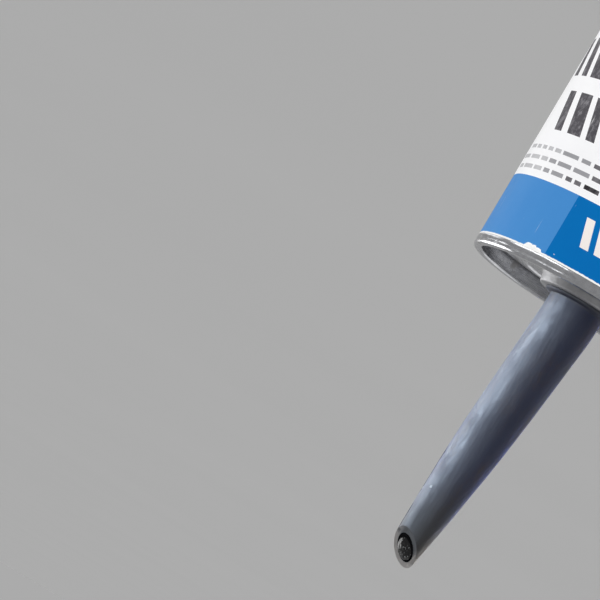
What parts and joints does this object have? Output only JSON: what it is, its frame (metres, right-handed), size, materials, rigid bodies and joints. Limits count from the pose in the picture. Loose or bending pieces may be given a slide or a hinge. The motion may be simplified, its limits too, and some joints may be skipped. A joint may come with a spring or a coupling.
{
  "type": "caulk tube",
  "caption": "Round sealant cartridge: paperboard barrel with printed label, seamed metal front end, slant-cut nozzle and a follower plunger that slides up the barrel.",
  "frame": {"origin": "centre of the barrel's rear rim, on the surface the cartridge stands on", "axes": "+Z along the barrel's axis towards the nozzle; the nozzle leans 5 degrees towards +X; its slant cut faces +X and -Y"},
  "size_m": [0.0508, 0.0508, 0.2817],
  "materials": {
    "paperboard": "matt wound board with a white outer ply",
    "label_paper": "satin printed paper, white with a two-tone blue band",
    "tinplate": "bright drawn tinplate with fine rolling marks",
    "nozzle_plastic": "milky natural polyethylene, satin",
    "foil": "bright foil",
    "plunger_plastic": "natural white polyethylene, satin",
    "sealant": "glossy black, grainy"
  },
  "bodies": {
    "cartridge": {"barrel_tube": "paperboard", "printed_label": "label_paper", "front_end": "tinplate", "nozzle": "nozzle_plastic", "seal_membrane": "foil", "sealant_column": "sealant", "nozzle_sealant": "sealant"},
    "follower": {"plunger": "plunger_plastic"}
  },
  "joints": [
    {"name": "plunger_slide", "type": "slide", "parent": "cartridge", "child": "follower", "axis": [0, 0, 1], "range_m": [0, 0.174], "deforming": ["sealant_column"]}
  ]
}
